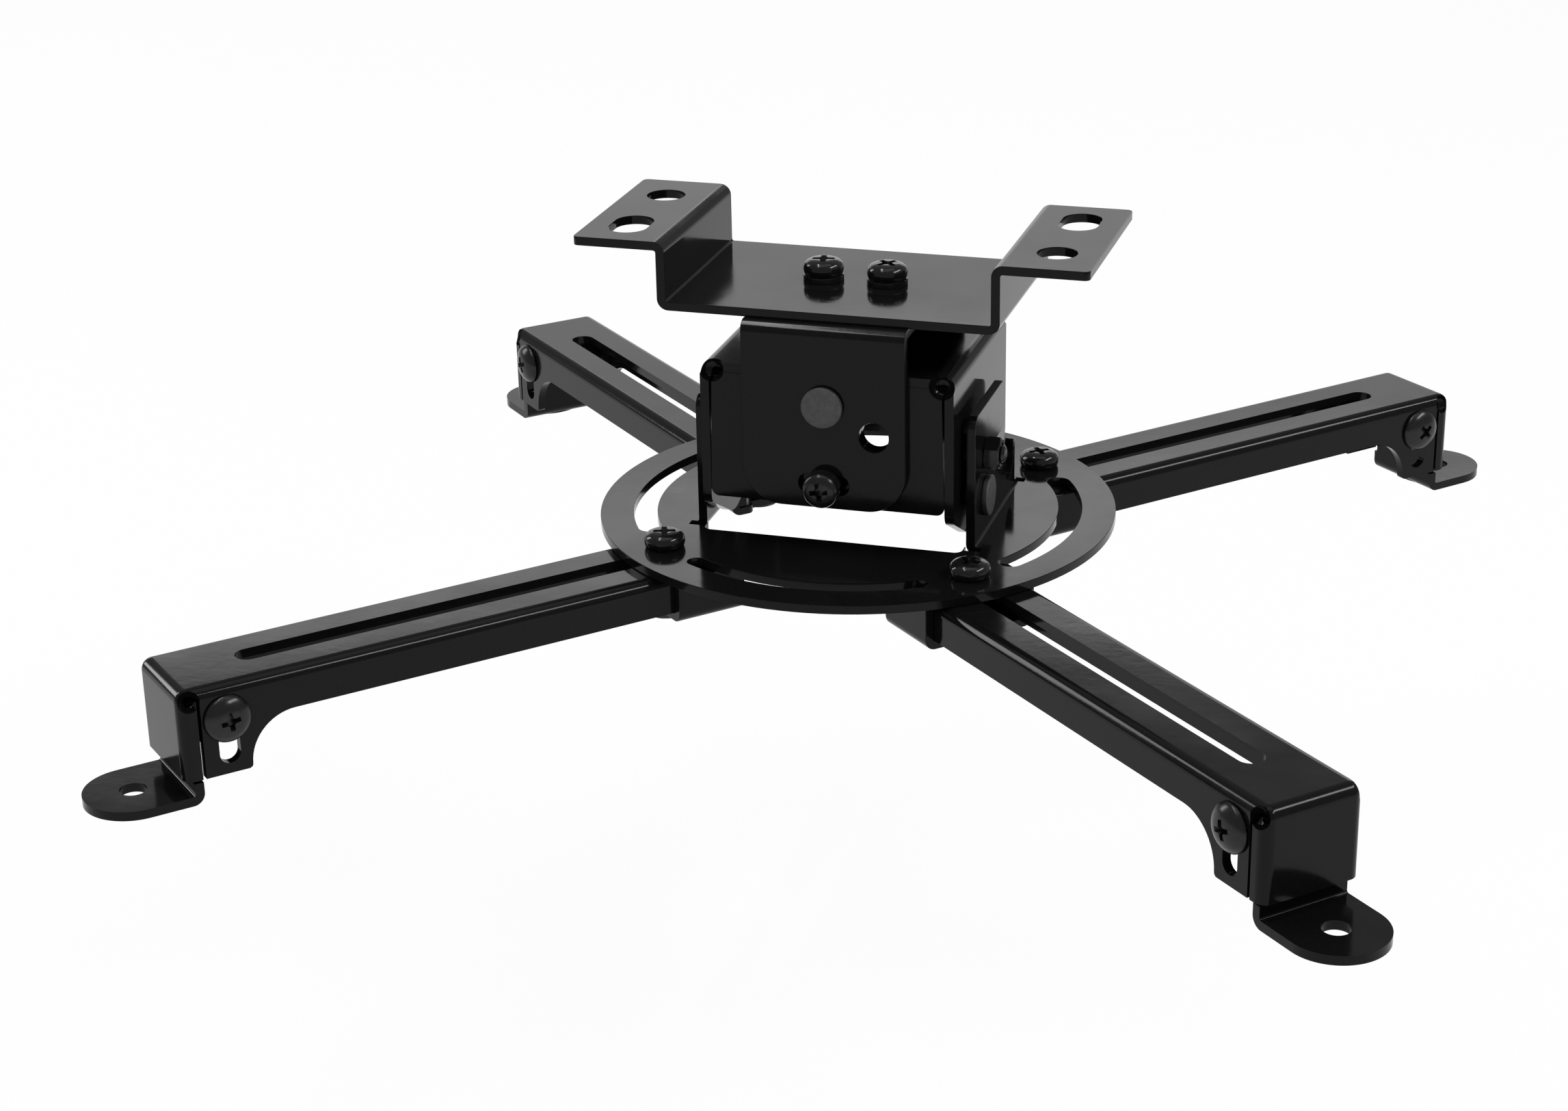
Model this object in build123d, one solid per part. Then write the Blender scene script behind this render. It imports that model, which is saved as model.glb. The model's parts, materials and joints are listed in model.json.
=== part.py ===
from build123d import *
import os
from math import cos, radians, sin, tan

# Projector ceiling mount: four adjustable arms under a round plate, with a tilting head above.
# Units are millimetres. The floor is z = 0, +Z is up, +X runs along the ceiling plate's two tabs.
# The clamp screws stand on the diagonals of the round plate.

# Sheet metal
sheet = 2.3
bend_inner = 0.6
bend_outer = bend_inner + sheet

# How far a cut runs past the sheet, and the least run kept between two arcs
cut_over = 1.0
least_run = 0.01

# Clearances
running_clear = 0.08
face_clear = 0.1
fixed_clear = 0.05
bolt_clear = 0.2
slot_clear = 0.1
washer_split = 0.6

# Round plate with its openings
plate_radius = 67.0
plate_top_z = 32.0
plate_under_z = plate_top_z - sheet
clamp_circle_r = 56.0
wide_slot_r = 55.25
wide_slot_width = 6.1
narrow_slot_r = 55.4
narrow_slot_width = 4.8
slot_half_angle = 31.0
opening_half_x = 33.9
opening_front_y = -26.0
opening_back_y = 31.0
opening_corner_r = 2.0
window_half_x = 24.0

# Ears that carry the tilting head, as heights over the floor and distances along Y
ear_inner_x = 34.2
ear_front_y = -21.5
ear_top_z = 66.0
ear_corner_r = 3.0
lobe_back_y = 11.5
lobe_under_z = 53.0
lobe_corner_r = 4.0
notch_outer_r = 2.0
notch_front_y = -0.5
notch_under_z = 45.0
seat_y = 17.2
seat_z = 40.6
seat_r = 4.2
post_back_y = 23.5
post_tip_z = 45.5
post_tip_r = 0.7
ear_foot_back_y = 26.3
ear_foot_flare = 2.5
ear_relief_width = 2.5
ear_relief_reach = 4.2

# Fore-and-aft pivot and its lock
pivot_y = -9.5
pivot_z = 41.7
rivet_shank_r = 3.0
rivet_head_r = 5.25
rivet_head_t = 1.5
rivet_edge_r = 0.35
rivet_tail_r = 4.5
spacer_r = 5.0
tilt_lock_radius = 11.3
tilt_lock_half_angle = 15.0
tilt_lock_nut_flats = 7.8
tilt_lock_tail = 1.0

# Tilting box
box_half_x = 32.7
box_half_y = 28.6
box_top_z = 78.2
box_front_half_x = 29.7
box_front_bottom_z = 42.5
box_front_corner_r = 2.0
box_side_front_z = 40.6
box_side_back_z = 44.0
box_side_corner_r = 3.5
box_tongue_r = 10.0
box_relief_r = 3.3
box_relief_rise = 1.0

# Yoke over the box, side pivot and side lock
yoke_half_x = 21.05
yoke_gap = 0.3
yoke_top_z = 90.3
yoke_bottom_z = 42.8
yoke_corner_r = 10.0
side_pivot_z = 69.7
side_lock_radius = 21.0
side_lock_half_angle = 11.0
access_hole_x = 13.0
access_hole_z = 62.6
access_hole_r = 3.85

# Ceiling plate
ceiling_half_x = 65.6
ceiling_web_x = 43.8
ceiling_half_y = 27.5
ceiling_top_z = 107.9
ceiling_corner_r = 1.5
ceiling_hole_x = 54.8
ceiling_hole_y = 13.7
ceiling_hole_r = 5.0
ceiling_slot_length = 15.0
head_screw_x = 8.35

# Arms, measured out from the clamp screw
arm_width = 26.8
arm_top_z = 29.5
arm_shallow_z = 19.5
arm_deep_z = 6.9
arm_tip = 134.8
arm_inner_end = -13.5
arm_sweep_start = 106.5
arm_sweep_r = 11.5
arm_sweep_corner_r = 1.0
arm_slot_start = -4.3
arm_slot_end = 115.4
arm_slot_width = 6.6
arm_return_length = 4.4
arm_seam_gap = 0.8
arm_relief_r = 2.6
arm_relief_depth = 0.6
arm_relief_past = 0.2
foot_slot_inset = 11.5
foot_slot_low_z = 12.1
foot_slot_high_z = 22.0
foot_screw_z = 21.0
arm_angles = {
    "front_left": 227.4,
    "front_right": 316.4,
    "back_right": 47.7,
    "back_left": 135.8,
}
clamp_angles = {
    "front_left": 225.0,
    "front_right": 315.0,
    "back_right": 45.0,
    "back_left": 135.0,
}

# Collars that hold the arms under the round plate
collar_side_clear = 0.15
collar_floor_clear = 0.1
collar_bend_inner = 0.3
collar_back = -14.0
collar_front = 4.9
collar_notch_half = 8.6
collar_notch_depth = 3.0
collar_notch_r = 2.2
collar_top_z = 29.3

# Feet
foot_wall_clear = 0.3
foot_lug_clear = 0.15
foot_top_z = 25.8
foot_lug_low_z = 15.5
foot_lug_length = 15.4
foot_lug_corner_r = 4.0
foot_tab_r = 11.9
foot_tab_reach = 8.5
foot_hole_r = 3.3
foot_wide_top_z = 5.5

# Screws and nuts
m6_shank_r = 3.0
m6_head_r = 5.2
m6_head_t = 4.0
m6_nut_flats = 10.0
m6_nut_t = 5.0
m6_thin_nut_t = 3.2
m5_shank_r = 2.5
m5_head_r = 4.65
m5_head_t = 3.4
m5_nut_flats = 8.0
m5_nut_t = 4.0
truss_head_r = 5.9
truss_head_t = 2.8
head_round_top = 0.55
head_round_foot = 0.18
spring_washer_t = 1.5
nut_tail = 0.75
thin_nut_tail = 0.3

cut_depth = 4 * sheet

X_WAY = Vector(1, 0, 0)
Y_WAY = Vector(0, 1, 0)
Z_WAY = Vector(0, 0, 1)


# Drawing helpers

def rounded_face(corners, plane):
    """Flat face through corners given as (across, up, radius), lying in one plane."""
    starts = []
    middles = []
    ends = []
    count = len(corners)
    for index, (across, up, radius) in enumerate(corners):
        here = Vector(across, up)
        before = Vector(*corners[index - 1][:2])
        after = Vector(*corners[(index + 1) % count][:2])
        to_before = (before - here).normalized()
        to_after = (after - here).normalized()
        half = radians(to_before.get_angle(to_after)) / 2
        bisector = (to_before + to_after).normalized()
        starts.append(here + to_before * (radius / tan(half)))
        ends.append(here + to_after * (radius / tan(half)))
        middles.append(here + bisector * (radius / sin(half) - radius))
    edges = []
    for index, (across, up, radius) in enumerate(corners):
        if radius > 0:
            edges.append(ThreePointArc(starts[index], middles[index], ends[index]))
        following = starts[(index + 1) % count]
        if (following - ends[index]).length > least_run / 10:
            edges.append(Line(ends[index], following))
    return plane * Face(Wire(edges))


def prism(corners, plane, way, start, end):
    """Solid swept straight from start to end along way."""
    face = rounded_face(corners, plane)
    face = face.moved(Location(way * start))
    return Solid.extrude(face, way * (end - start))


def block(x_low, x_high, y_low, y_high, z_low, z_high):
    """Rectangular block between two opposite corners."""
    middle = Pos((x_low + x_high) / 2, (y_low + y_high) / 2, (z_low + z_high) / 2)
    return middle * Box(x_high - x_low, y_high - y_low, z_high - z_low)


def rod(radius, way, start, end, across=(0, 0)):
    """Cylinder along one of the three main directions, from start to end."""
    length = end - start
    middle = (start + end) / 2
    if way is X_WAY:
        return Pos(middle, across[0], across[1]) * Rot(0, 90, 0) * Cylinder(radius, length)
    if way is Y_WAY:
        return Pos(across[0], middle, across[1]) * Rot(90, 0, 0) * Cylinder(radius, length)
    return Pos(across[0], across[1], middle) * Cylinder(radius, length)


def edges_at(solid, direction, x=None, y=None, z=None):
    """Straight edges along a direction whose middle has the given coordinates."""
    match = 0.02
    found = ShapeList()
    for edge in solid.edges().filter_by(direction):
        centre = edge.center()
        wanted = ((x, centre.X), (y, centre.Y), (z, centre.Z))
        if all(want is None or abs(want - have) < match for want, have in wanted):
            found.append(edge)
    return found


def arc_slot(radius, width, middle_angle, half_angle):
    """Flat slot bent round the origin, its end circles at plus and minus half_angle."""
    arc = CenterArc((0, 0), radius, middle_angle - half_angle, 2 * half_angle)
    return SlotArc(arc, width)


# Screws, rivets, nuts and washers, each standing on z = 0 with its head upward

def screw(shank_r, head_r, head_t, length):
    """Round-headed screw, its head's underside on z = 0."""
    head = rod(head_r, Z_WAY, 0, head_t)
    head = fillet(head.edges().group_by(Axis.Z)[-1], head_t * head_round_top)
    head = fillet(head.edges().group_by(Axis.Z)[0], head_t * head_round_foot)
    return head + rod(shank_r, Z_WAY, -length, 0)


def truss_screw(length):
    """Low dome-headed screw, its head's underside on z = 0."""
    dome_r = (truss_head_r ** 2 + truss_head_t ** 2) / (2 * truss_head_t)
    dome = Pos(0, 0, truss_head_t - dome_r) * Sphere(dome_r)
    head = dome & rod(truss_head_r, Z_WAY, 0, truss_head_t)
    return head + rod(m5_shank_r, Z_WAY, -length, 0)


def rivet(length):
    """Pivot rivet, its outer head's underside on z = 0 and its inner head below."""
    head = rod(rivet_head_r, Z_WAY, 0, rivet_head_t)
    head = fillet(head.edges().group_by(Axis.Z)[-1], rivet_edge_r)
    tail = rod(rivet_tail_r, Z_WAY, -length - rivet_head_t, -length)
    return head + tail + rod(rivet_shank_r, Z_WAY, -length, 0)


def nut(flats, thickness, shank_r):
    """Hexagon nut hanging below z = 0."""
    body = extrude(RegularPolygon(flats / 2, 6, major_radius=False), -thickness)
    return body - rod(shank_r + fixed_clear, Z_WAY, -thickness, 0)


def spring_washer(shank_r, outer_r, thickness):
    """Split ring washer standing on z = 0."""
    ring = rod(outer_r, Z_WAY, 0, thickness)
    ring -= rod(shank_r + bolt_clear, Z_WAY, 0, thickness)
    return ring - block(0, outer_r, -washer_split / 2, washer_split / 2, 0, thickness)


def spacer(shank_r, outer_r, thickness):
    """Plain ring standing on z = 0."""
    return rod(outer_r, Z_WAY, 0, thickness) - rod(shank_r + fixed_clear, Z_WAY, 0, thickness)


def face_right(solid):
    """Turn a piece that stands upward so that it points along +X."""
    return Rot(0, 90, 0) * solid


def face_left(solid):
    """Turn a piece that stands upward so that it points along -X."""
    return Rot(0, -90, 0) * solid


def face_front(solid):
    """Turn a piece that stands upward so that it points along -Y."""
    return Rot(90, 0, 0) * solid


def face_back(solid):
    """Turn a piece that stands upward so that it points along +Y."""
    return Rot(-90, 0, 0) * solid


# Ceiling plate: a hat-shaped plate whose two tabs bolt to the ceiling

def make_ceiling_plate():
    centre_top = yoke_top_z + sheet
    web_in = ceiling_web_x - sheet
    right_side = [
        (ceiling_web_x, yoke_top_z, bend_outer),
        (ceiling_web_x, ceiling_top_z - sheet, bend_inner),
        (ceiling_half_x, ceiling_top_z - sheet, 0),
        (ceiling_half_x, ceiling_top_z, 0),
        (web_in, ceiling_top_z, bend_outer),
        (web_in, centre_top, bend_inner),
    ]
    left_side = [(-across, up, radius) for across, up, radius in reversed(right_side)]
    plane = Plane(origin=(0, 0, 0), x_dir=(1, 0, 0), z_dir=(0, -1, 0))
    plate = prism(right_side + left_side, plane, Y_WAY, -ceiling_half_y, ceiling_half_y)
    for side in (-1, 1):
        for end in (-1, 1):
            corner = edges_at(plate, Axis.Z, x=side * ceiling_half_x, y=end * ceiling_half_y)
            plate = fillet(corner, ceiling_corner_r)
    for side in (-1, 1):
        round_hole = Pos(side * ceiling_hole_x, -side * ceiling_hole_y, ceiling_top_z)
        plate -= round_hole * Cylinder(ceiling_hole_r, cut_depth)
        long_hole = Pos(side * ceiling_hole_x, side * ceiling_hole_y, ceiling_top_z)
        slot = SlotOverall(ceiling_slot_length, 2 * ceiling_hole_r, rotation=90)
        plate -= long_hole * extrude(slot, cut_depth / 2, both=True)
        screw_hole = Pos(side * head_screw_x, 0, yoke_top_z)
        plate -= screw_hole * Cylinder(m6_shank_r + bolt_clear, cut_depth)
    return plate


# Head yoke: an inverted U that straddles the tilting box from front to back

def yoke_outer_y():
    return box_half_y + yoke_gap + sheet


def make_head_yoke():
    outer = yoke_outer_y()
    inner = outer - sheet
    corners = [
        (-outer, yoke_bottom_z, 0),
        (-outer, yoke_top_z, bend_outer),
        (outer, yoke_top_z, bend_outer),
        (outer, yoke_bottom_z, 0),
        (inner, yoke_bottom_z, 0),
        (inner, yoke_top_z - sheet, bend_inner),
        (-inner, yoke_top_z - sheet, bend_inner),
        (-inner, yoke_bottom_z, 0),
    ]
    yoke = prism(corners, Plane.YZ, X_WAY, -yoke_half_x, yoke_half_x)
    for side in (-1, 1):
        for end in (-1, 1):
            middle_y = end * (outer + inner) / 2
            corner = edges_at(yoke, Axis.Y, x=side * yoke_half_x, y=middle_y, z=yoke_bottom_z)
            yoke = fillet(corner, yoke_corner_r)
    front = -outer - cut_over
    yoke -= rod(rivet_shank_r + running_clear, Y_WAY, front, -front, (0, side_pivot_z))
    lock_slot = arc_slot(side_lock_radius, 2 * (m5_shank_r + slot_clear), -90, side_lock_half_angle)
    slot_plane = Plane(origin=(0, front, side_pivot_z), x_dir=(1, 0, 0), z_dir=(0, -1, 0))
    yoke -= extrude(slot_plane * lock_slot, -cut_depth)
    yoke -= rod(access_hole_r, Y_WAY, front, front + cut_depth, (access_hole_x, access_hole_z))
    for side in (-1, 1):
        screw_hole = Pos(side * head_screw_x, 0, yoke_top_z)
        yoke -= screw_hole * Cylinder(m6_shank_r + bolt_clear, cut_depth)
    return yoke


# Tilting box: an open-bottomed pan folded from one sheet

def box_side_outline():
    """Side flange's outline in Y and Z: a round tongue with a tangent line to each lower corner."""
    centre = Vector(pivot_y, pivot_z)
    tangents = []
    for end, corner_z in ((1, box_side_back_z), (-1, box_side_front_z)):
        corner = Vector(end * box_half_y, corner_z)
        gap = (corner - centre).length
        reach = (gap ** 2 - box_tongue_r ** 2) ** 0.5
        to_centre = (centre - corner).normalized()
        lean = end * box_tongue_r / gap
        along = reach / gap
        tangent_x = to_centre.X * along - to_centre.Y * lean
        tangent_y = to_centre.X * lean + to_centre.Y * along
        tangents.append(corner + Vector(tangent_x, tangent_y) * reach)
    lowest = Vector(pivot_y, pivot_z - box_tongue_r)
    back_line = Line((box_half_y, box_side_back_z), tangents[0])
    tongue = ThreePointArc(tangents[0], lowest, tangents[1])
    front_line = Line(tangents[1], (-box_half_y, box_side_front_z))
    front_edge = Line((-box_half_y, box_side_front_z), (-box_half_y, box_top_z))
    top_edge = Line((-box_half_y, box_top_z), (box_half_y, box_top_z))
    back_edge = Line((box_half_y, box_top_z), (box_half_y, box_side_back_z))
    wire = Wire([back_line, tongue, front_line, front_edge, top_edge, back_edge])
    return Plane.YZ * Face(wire)


def make_tilt_box():
    floor_z = pivot_z - box_tongue_r - cut_over
    inner_x = box_half_x - sheet
    across = [
        (-box_half_x, floor_z, 0),
        (-box_half_x, box_top_z, bend_outer),
        (box_half_x, box_top_z, bend_outer),
        (box_half_x, floor_z, 0),
        (inner_x, floor_z, 0),
        (inner_x, box_top_z - sheet, bend_inner),
        (-inner_x, box_top_z - sheet, bend_inner),
        (-inner_x, floor_z, 0),
    ]
    plane = Plane(origin=(0, 0, 0), x_dir=(1, 0, 0), z_dir=(0, -1, 0))
    sides = prism(across, plane, Y_WAY, -box_half_y, box_half_y)
    reach = box_half_x + cut_over
    side_shape = box_side_outline().moved(Location((-reach, 0, 0)))
    sides = sides & Solid.extrude(side_shape, X_WAY * (2 * reach))
    for corner_y, corner_z in ((-box_half_y, box_side_front_z), (box_half_y, box_side_back_z)):
        sides = fillet(edges_at(sides, Axis.X, y=corner_y, z=corner_z), box_side_corner_r)
    inner_y = box_half_y - sheet
    along = [
        (-box_half_y, box_front_bottom_z, 0),
        (-box_half_y, box_top_z, bend_outer),
        (box_half_y, box_top_z, bend_outer),
        (box_half_y, box_front_bottom_z, 0),
        (inner_y, box_front_bottom_z, 0),
        (inner_y, box_top_z - sheet, bend_inner),
        (-inner_y, box_top_z - sheet, bend_inner),
        (-inner_y, box_front_bottom_z, 0),
    ]
    ends = prism(along, Plane.YZ, X_WAY, -box_front_half_x, box_front_half_x)
    for side in (-1, 1):
        for end in (-1, 1):
            middle_y = end * (box_half_y + inner_y) / 2
            corner = edges_at(ends, Axis.Y, side * box_front_half_x, middle_y, box_front_bottom_z)
            ends = fillet(corner, box_front_corner_r)
    box = sides + ends
    for side in (-1, 1):
        for end in (-1, 1):
            relief_z = box_top_z - bend_outer + box_relief_rise
            relief = Pos(side * box_front_half_x, end * box_half_y, relief_z) * Sphere(box_relief_r)
            box -= relief
    front = -box_half_y - cut_over
    box -= rod(rivet_shank_r + fixed_clear, Y_WAY, front, -front, (0, side_pivot_z))
    lock_z = side_pivot_z - side_lock_radius
    box -= rod(m5_shank_r + bolt_clear, Y_WAY, front, front + cut_depth, (0, lock_z))
    box -= rod(access_hole_r, Y_WAY, front, front + cut_depth, (access_hole_x, access_hole_z))
    box -= rod(rivet_shank_r + running_clear, X_WAY, -reach, reach, (pivot_y, pivot_z))
    slot = arc_slot(tilt_lock_radius, 2 * (m5_shank_r + slot_clear), 90, tilt_lock_half_angle)
    slot_origin = (inner_x - cut_over, pivot_y, pivot_z)
    slot_plane = Plane(origin=slot_origin, x_dir=(0, 1, 0), z_dir=(1, 0, 0))
    box -= extrude(slot_plane * slot, cut_depth)
    return box


# Round plate with the two ears bent up from its opening

def ear_outline():
    """Ear's side outline in Y and Z."""
    base_z = plate_under_z
    seat_low = seat_z - seat_r
    post_front = seat_y + seat_r
    seat_front = seat_y - seat_r
    notch_r = (lobe_under_z - notch_under_z) / 2 - least_run
    seat_corner_r = seat_r - least_run
    corners = [
        (ear_front_y, base_z, 0),
        (ear_front_y, ear_top_z, ear_corner_r),
        (lobe_back_y, ear_top_z, ear_corner_r),
        (lobe_back_y, lobe_under_z, lobe_corner_r),
        (notch_front_y, lobe_under_z, notch_r),
        (notch_front_y, notch_under_z, notch_r),
        (seat_front, notch_under_z, notch_outer_r),
        (seat_front, seat_low, seat_corner_r),
        (post_front, seat_low, seat_corner_r),
        (post_front, post_tip_z, post_tip_r),
        (post_back_y, post_tip_z, post_tip_r),
        (post_back_y, plate_top_z + ear_foot_flare / 2, ear_foot_flare / 2),
        (ear_foot_back_y, plate_top_z + ear_foot_flare / 2, 0),
        (ear_foot_back_y, base_z, 0),
    ]
    return rounded_face(corners, Plane.YZ)


def make_right_ear():
    """Ear on the +X side with its bend and a short strip of plate."""
    outer_x = ear_inner_x + sheet
    strip_end = outer_x + bend_outer
    section = [
        (ear_inner_x, plate_under_z, bend_outer),
        (ear_inner_x, ear_top_z, 0),
        (outer_x, ear_top_z, 0),
        (outer_x, plate_top_z, bend_inner),
        (strip_end, plate_top_z, 0),
        (strip_end, plate_under_z, 0),
    ]
    plane = Plane(origin=(0, 0, 0), x_dir=(1, 0, 0), z_dir=(0, -1, 0))
    ear = prism(section, plane, Y_WAY, ear_front_y, ear_foot_back_y)
    shape = ear_outline().moved(Location((ear_inner_x - cut_over, 0, 0)))
    return ear & Solid.extrude(shape, X_WAY * (strip_end - ear_inner_x + 2 * cut_over))


def make_ring_plate():
    flat = Circle(plate_radius)
    opening_depth = opening_back_y - opening_front_y
    opening = RectangleRounded(2 * opening_half_x, opening_depth, opening_corner_r)
    flat -= Pos(0, (opening_back_y + opening_front_y) / 2) * opening
    strip_end = ear_inner_x + sheet + bend_outer
    ear_width = ear_foot_back_y - ear_front_y
    ear_middle_y = (ear_foot_back_y + ear_front_y) / 2
    flat -= Pos(0, ear_middle_y) * Rectangle(2 * strip_end, ear_width)
    relief_x = ear_inner_x + ear_relief_reach / 2
    for side in (-1, 1):
        for relief_y in (ear_front_y - ear_relief_width / 2, ear_foot_back_y + ear_relief_width / 2):
            cut = Rectangle(ear_relief_reach, ear_relief_width)
            flat -= Pos(side * relief_x, relief_y) * cut
        flat -= arc_slot(wide_slot_r, wide_slot_width, 90 - 90 * side, slot_half_angle)
        flat -= arc_slot(narrow_slot_r, narrow_slot_width, 90 * side, slot_half_angle)
    window_front_y = opening_back_y - opening_corner_r
    window_depth = narrow_slot_r - window_front_y
    window = Rectangle(2 * window_half_x, window_depth)
    flat -= Circle(narrow_slot_r) & (Pos(0, window_front_y + window_depth / 2) * window)
    for angle in clamp_angles.values():
        place = Rot(0, 0, angle) * Pos(clamp_circle_r, 0)
        flat -= place * Circle(m6_shank_r + running_clear)
    plate = Pos(0, 0, plate_under_z) * extrude(flat, sheet)
    right_ear = make_right_ear()
    start = ear_inner_x - cut_over
    end = ear_inner_x + sheet + cut_over
    right_ear -= rod(rivet_shank_r + fixed_clear, X_WAY, start, end, (pivot_y, pivot_z))
    left_ear = mirror(right_ear, Plane.YZ)
    lock_z = pivot_z + tilt_lock_radius
    right_ear -= rod(m5_shank_r + bolt_clear, X_WAY, start, end, (pivot_y, lock_z))
    return plate + right_ear + left_ear


# Arms: channels closed at the outer end, with a swept lower edge

def make_arm():
    half = arm_width / 2
    outer = block(arm_inner_end, arm_tip, -half, half, arm_deep_z, arm_top_z)
    inner_half = half - sheet
    inner_tip = arm_tip - sheet
    inner_top = arm_top_z - sheet
    inner_start = arm_inner_end - cut_over
    under_z = arm_deep_z - cut_over
    inner = block(inner_start, inner_tip, -inner_half, inner_half, under_z, inner_top)
    shells = []
    for solid, side, tip, top, radius in (
        (outer, half, arm_tip, arm_top_z, bend_outer),
        (inner, inner_half, inner_tip, inner_top, bend_inner),
    ):
        chosen = edges_at(solid, Axis.X, y=side, z=top) + edges_at(solid, Axis.X, y=-side, z=top)
        chosen += edges_at(solid, Axis.Y, x=tip, z=top)
        chosen += edges_at(solid, Axis.Z, x=tip, y=side) + edges_at(solid, Axis.Z, x=tip, y=-side)
        shells.append(fillet(chosen, radius))
    arm = shells[0] - shells[1]
    sweep_end = arm_sweep_start + arm_sweep_r
    wide = half + cut_over
    under = block(inner_start, sweep_end, -wide, wide, arm_deep_z - arm_sweep_r, arm_shallow_z)
    under = fillet(edges_at(under, Axis.Y, x=sweep_end, z=arm_shallow_z), arm_sweep_r)
    arm -= under
    arm = fillet(edges_at(arm, Axis.Y, x=sweep_end, z=arm_deep_z), arm_sweep_corner_r)
    slot_length = arm_slot_end - arm_slot_start
    slot = SlotOverall(slot_length, arm_slot_width)
    slot_middle = Pos((arm_slot_start + arm_slot_end) / 2, 0, arm_top_z - sheet / 2)
    arm -= slot_middle * extrude(slot, sheet, both=True)
    seam_x = arm_tip - arm_return_length
    relief_x = seam_x - arm_seam_gap + arm_relief_r - arm_relief_past
    relief_z = arm_top_z - arm_relief_r
    arm -= block(seam_x - arm_seam_gap, seam_x, -wide, wide, under_z, relief_z)
    slot_z = (foot_slot_low_z + foot_slot_high_z) / 2
    slot_height = foot_slot_high_z - foot_slot_low_z + 2 * (m5_shank_r + slot_clear)
    foot_slot = SlotOverall(slot_height, 2 * (m5_shank_r + slot_clear), rotation=90)
    slot_plane = Plane(origin=(arm_tip - foot_slot_inset, 0, slot_z), x_dir=(1, 0, 0), z_dir=(0, -1, 0))
    arm -= extrude(slot_plane * foot_slot, wide, both=True)
    for side in (-1, 1):
        relief_y = side * (half - arm_relief_depth)
        arm -= Pos(relief_x, relief_y, relief_z) * Sphere(arm_relief_r)
    return arm


# Collars: U saddles that clamp the arms up against the round plate

def collar_floor_top():
    return arm_shallow_z - collar_floor_clear


def make_collar():
    inner = arm_width / 2 + collar_side_clear
    outer = inner + sheet
    floor_top = collar_floor_top()
    floor_under = floor_top - sheet
    section = [
        (-outer, collar_top_z, 0),
        (-outer, floor_under, bend_outer),
        (outer, floor_under, bend_outer),
        (outer, collar_top_z, 0),
        (inner, collar_top_z, 0),
        (inner, floor_top, collar_bend_inner),
        (-inner, floor_top, collar_bend_inner),
        (-inner, collar_top_z, 0),
    ]
    collar = prism(section, Plane.YZ, X_WAY, collar_back, collar_front)
    notch_end = collar_back + collar_notch_depth
    half = collar_notch_half
    collar -= block(collar_back - cut_over, notch_end, -half, half, floor_under, floor_top)
    for side in (-1, 1):
        tab_corner = edges_at(collar, Axis.Z, x=collar_back, y=side * half)
        collar = fillet(tab_corner, collar_notch_r)
    hole = Pos(0, 0, floor_under) * Cylinder(m6_shank_r + bolt_clear, cut_depth)
    return collar - hole


# Feet: brackets that slide up and down inside the arms' ends

def foot_wall_outer():
    return arm_tip - sheet - foot_wall_clear


def foot_lug_outer():
    return arm_width / 2 - sheet - foot_lug_clear


def make_foot():
    wall_out = foot_wall_outer()
    wall_in = wall_out - sheet
    lug_out = foot_lug_outer()
    lug_in = lug_out - sheet
    hole_u = arm_tip + foot_tab_reach
    profile = [
        (wall_in, 0, bend_outer),
        (hole_u, 0, 0),
        (hole_u, sheet, 0),
        (wall_out, sheet, bend_inner),
        (wall_out, foot_top_z, 0),
        (wall_in, foot_top_z, 0),
    ]
    plane = Plane(origin=(0, 0, 0), x_dir=(1, 0, 0), z_dir=(0, -1, 0))
    foot = prism(profile, plane, Y_WAY, -foot_tab_r, foot_tab_r)
    cut_top = foot_top_z + cut_over
    for side in (-1, 1):
        edge = side * (foot_tab_r + cut_over)
        for keep, low_z in ((lug_out, foot_wide_top_z), (lug_out - bend_outer, foot_lug_low_z)):
            low = min(side * keep, edge)
            high = max(side * keep, edge)
            foot -= block(wall_in - cut_over, wall_out + cut_over, low, high, low_z, cut_top)
    lug_end = wall_out - foot_lug_length
    plan = [
        (lug_end, lug_out, 0),
        (lug_end, lug_in, 0),
        (wall_in, lug_in, bend_inner),
        (wall_in, -lug_in, bend_inner),
        (lug_end, -lug_in, 0),
        (lug_end, -lug_out, 0),
        (wall_out, -lug_out, bend_outer),
        (wall_out, lug_out, bend_outer),
    ]
    lugs = prism(plan, Plane.XY, Z_WAY, foot_lug_low_z, foot_top_z)
    middle = (lug_out + lug_in) / 2
    for side in (-1, 1):
        for lug_z in (foot_lug_low_z, foot_top_z):
            corner = edges_at(lugs, Axis.Y, x=lug_end, y=side * middle, z=lug_z)
            lugs = fillet(corner, foot_lug_corner_r)
    foot += lugs
    foot += Pos(hole_u, 0, sheet / 2) * Cylinder(foot_tab_r, sheet)
    foot -= Pos(hole_u, 0, sheet / 2) * Cylinder(foot_hole_r, cut_depth)
    screw_u = arm_tip - foot_slot_inset
    reach = lug_out + cut_over
    foot -= rod(m5_shank_r + fixed_clear, Y_WAY, -reach, reach, (screw_u, foot_screw_z))
    return foot


# Placing and saving

def save(name, solid):
    solid.label = name
    export_step(solid, os.path.join("parts", name + ".step"))


def clamp_place(corner):
    """Frame of one arm: its origin on the floor below the clamp screw, +X out along the arm."""
    angle = radians(clamp_angles[corner])
    spot = Pos(clamp_circle_r * cos(angle), clamp_circle_r * sin(angle), 0)
    return spot * Rot(0, 0, arm_angles[corner])


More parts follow.
